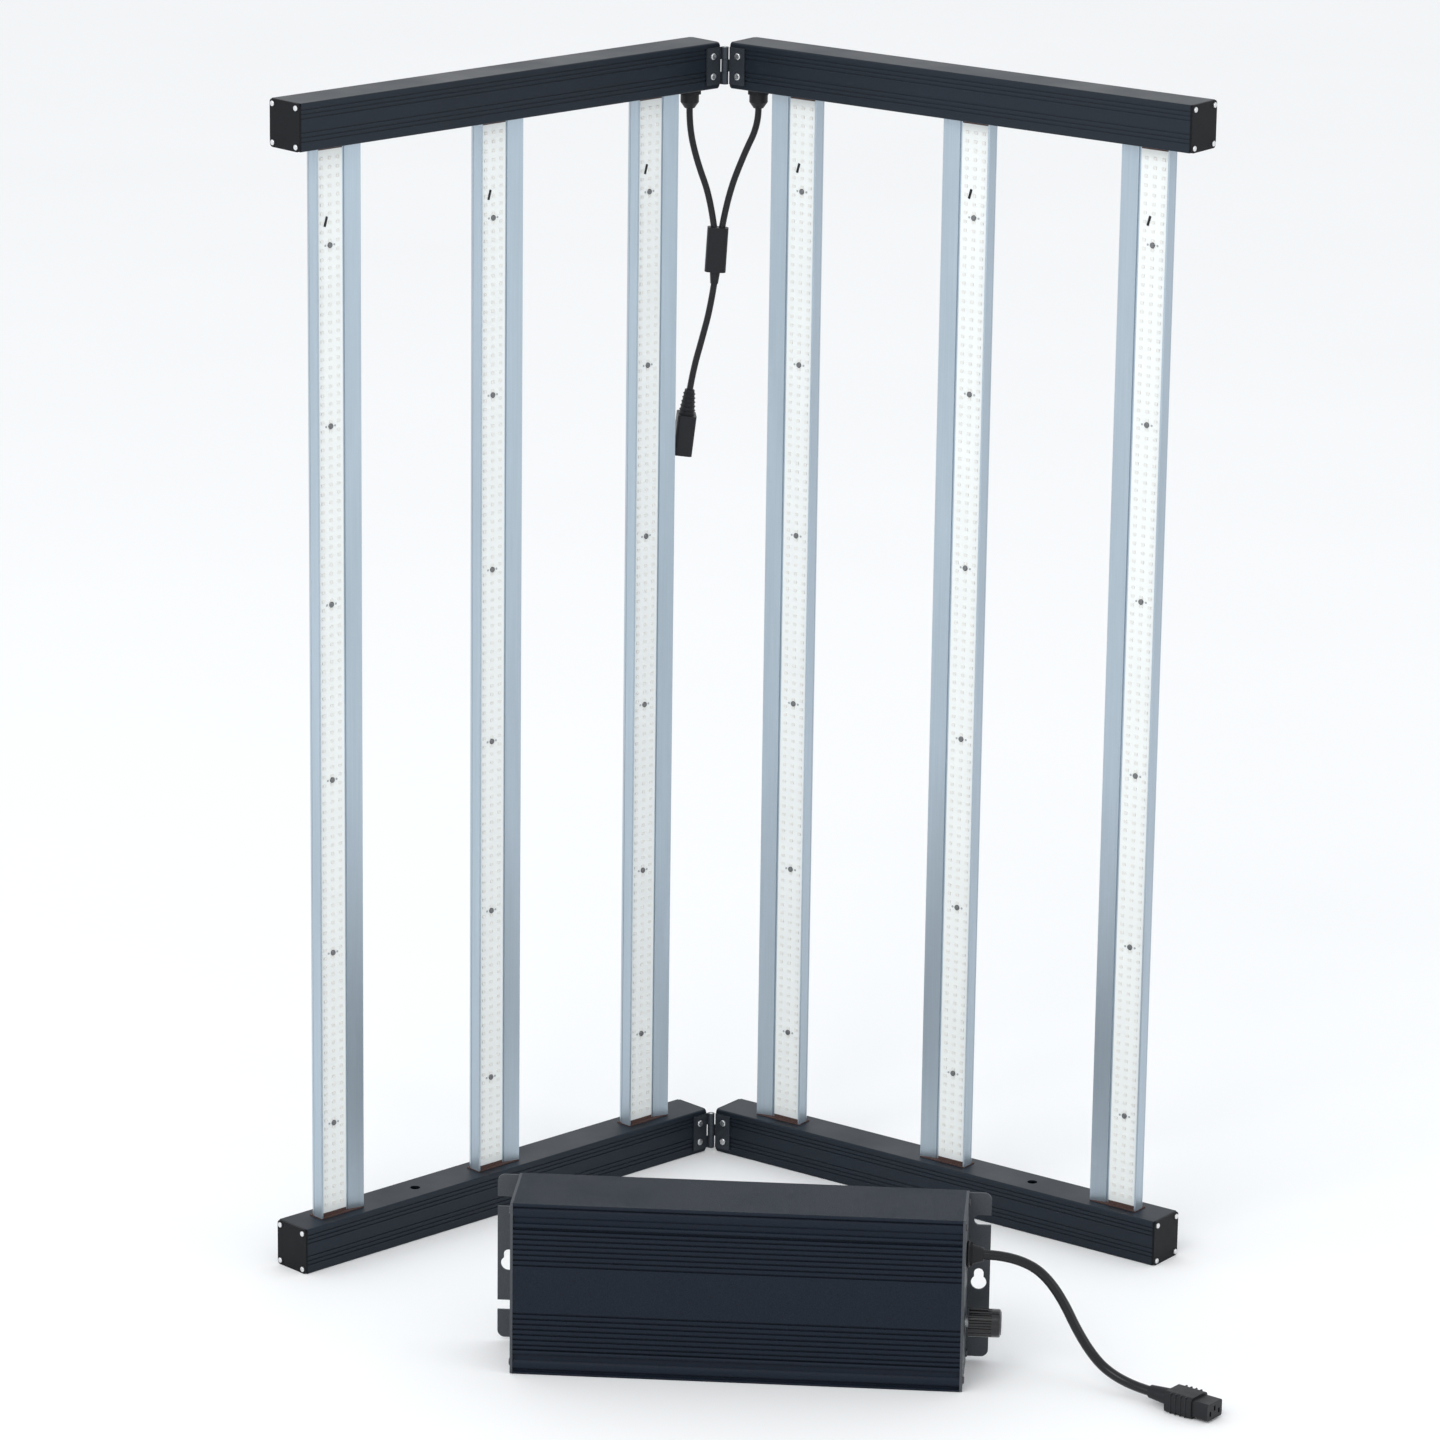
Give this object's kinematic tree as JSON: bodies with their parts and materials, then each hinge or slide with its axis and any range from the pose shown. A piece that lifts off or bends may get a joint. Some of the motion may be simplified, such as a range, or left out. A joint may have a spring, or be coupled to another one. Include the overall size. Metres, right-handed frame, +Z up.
{
  "type": "led grow light",
  "caption": "Folding grow light with LED bars between hinged black end rails, hung by a forked lead, with a separate finned driver box that has a dimmer knob.",
  "frame": {"origin": "middle of the box round the light and its driver, at floor level, measured without the cords and what is on them", "axes": "+Z up, +X along the driver to the end with its knob, +Y from the driver towards the light"},
  "size_m": [0.9255, 0.7255, 1.158],
  "materials": {
    "rail_anodised": "black anodised, satin, finely grooved",
    "bar_aluminium": "natural anodised, satin, slightly blue",
    "board_white": "white solder mask with rows of small LEDs",
    "seal_rubber": "dark brown silicone rubber",
    "screw_steel": "zinc-plated steel",
    "cap_black": "black powder coat",
    "hinge_black": "dark satin coated steel",
    "bracket_steel": "zinc-plated steel",
    "gland_nylon": "black nylon",
    "terminal_plastic": "natural polyamide",
    "blade_metal": "nickel-plated brass",
    "moulded_black": "moulded black PVC",
    "cord_jacket": "black PVC jacket",
    "cord_gloss": "black PVC jacket, fairly glossy",
    "driver_coating": "fine textured black powder coat",
    "driver_screw": "black zinc",
    "knob_gloss": "glossy black",
    "circuit_board": "green laminate",
    "coil_steel": "varnished core"
  },
  "bodies": {
    "left_wing": {"bar_seals_left": "seal_rubber", "board_screws_left": "screw_steel", "bottom_hinge_leaf_left": "hinge_black", "bottom_rail_left": "rail_anodised", "cap_screws_left": "screw_steel", "gland_body_left": "gland_nylon", "gland_nuts_left": "gland_nylon", "hanging_brackets_left": "bracket_steel", "hinge_pins": "screw_steel", "inner_caps_left": "cap_black", "lead_left": "cord_jacket", "lead_plug": "moulded_black", "lead_plug_blades": "blade_metal", "lead_right": "cord_jacket", "lead_splitter": "moulded_black", "lead_tail": "cord_jacket", "led_board_1_left": "board_white", "led_board_2_left": "board_white", "led_board_3_left": "board_white", "light_bar_1_left": "bar_aluminium", "light_bar_2_left": "bar_aluminium", "light_bar_3_left": "bar_aluminium", "m4_screws_left": "screw_steel", "outer_caps_left": "cap_black", "terminal_block_left": "terminal_plastic", "top_hinge_leaf_left": "hinge_black", "top_rail_left": "rail_anodised"},
    "right_wing": {"bar_seals_right": "seal_rubber", "board_screws_right": "screw_steel", "bottom_hinge_leaf_right": "hinge_black", "bottom_rail_right": "rail_anodised", "cap_screws_right": "screw_steel", "gland_body_right": "gland_nylon", "gland_nuts_right": "gland_nylon", "hanging_brackets_right": "bracket_steel", "inner_caps_right": "cap_black", "led_board_1_right": "board_white", "led_board_2_right": "board_white", "led_board_3_right": "board_white", "light_bar_1_right": "bar_aluminium", "light_bar_2_right": "bar_aluminium", "light_bar_3_right": "bar_aluminium", "m4_screws_right": "screw_steel", "outer_caps_right": "cap_black", "terminal_block_right": "terminal_plastic", "top_hinge_leaf_right": "hinge_black", "top_rail_right": "rail_anodised"},
    "driver": {"driver_board": "circuit_board", "driver_coils": "coil_steel", "driver_end_plate_left": "driver_coating", "driver_end_plate_right": "driver_coating", "driver_end_screws": "driver_screw", "driver_housing": "driver_coating", "driver_mount_flanges": "driver_coating", "dimmer": "bracket_steel", "output_gland": "gland_nylon", "output_cord": "cord_gloss", "output_connector": "moulded_black", "mains_inlet": "moulded_black"},
    "knob": {"dimmer_knob": "knob_gloss"}
  },
  "joints": [
    {"name": "fold", "type": "hinge", "parent": "left_wing", "child": "right_wing", "pos_m": [-0.04347, 0.29872, 0], "axis": [0, 0, 1], "range_deg": [-100, 80]},
    {"name": "driver_slide", "type": "slide", "parent": "left_wing", "child": "driver", "axis": [0, -1, 0], "range_m": [0, 0.3]},
    {"name": "dimmer_turn", "type": "hinge", "parent": "driver", "child": "knob", "pos_m": [0.25803, -0.29338, 0.054], "axis": [1, 0, 0], "range_deg": [0, 270]}
  ]
}
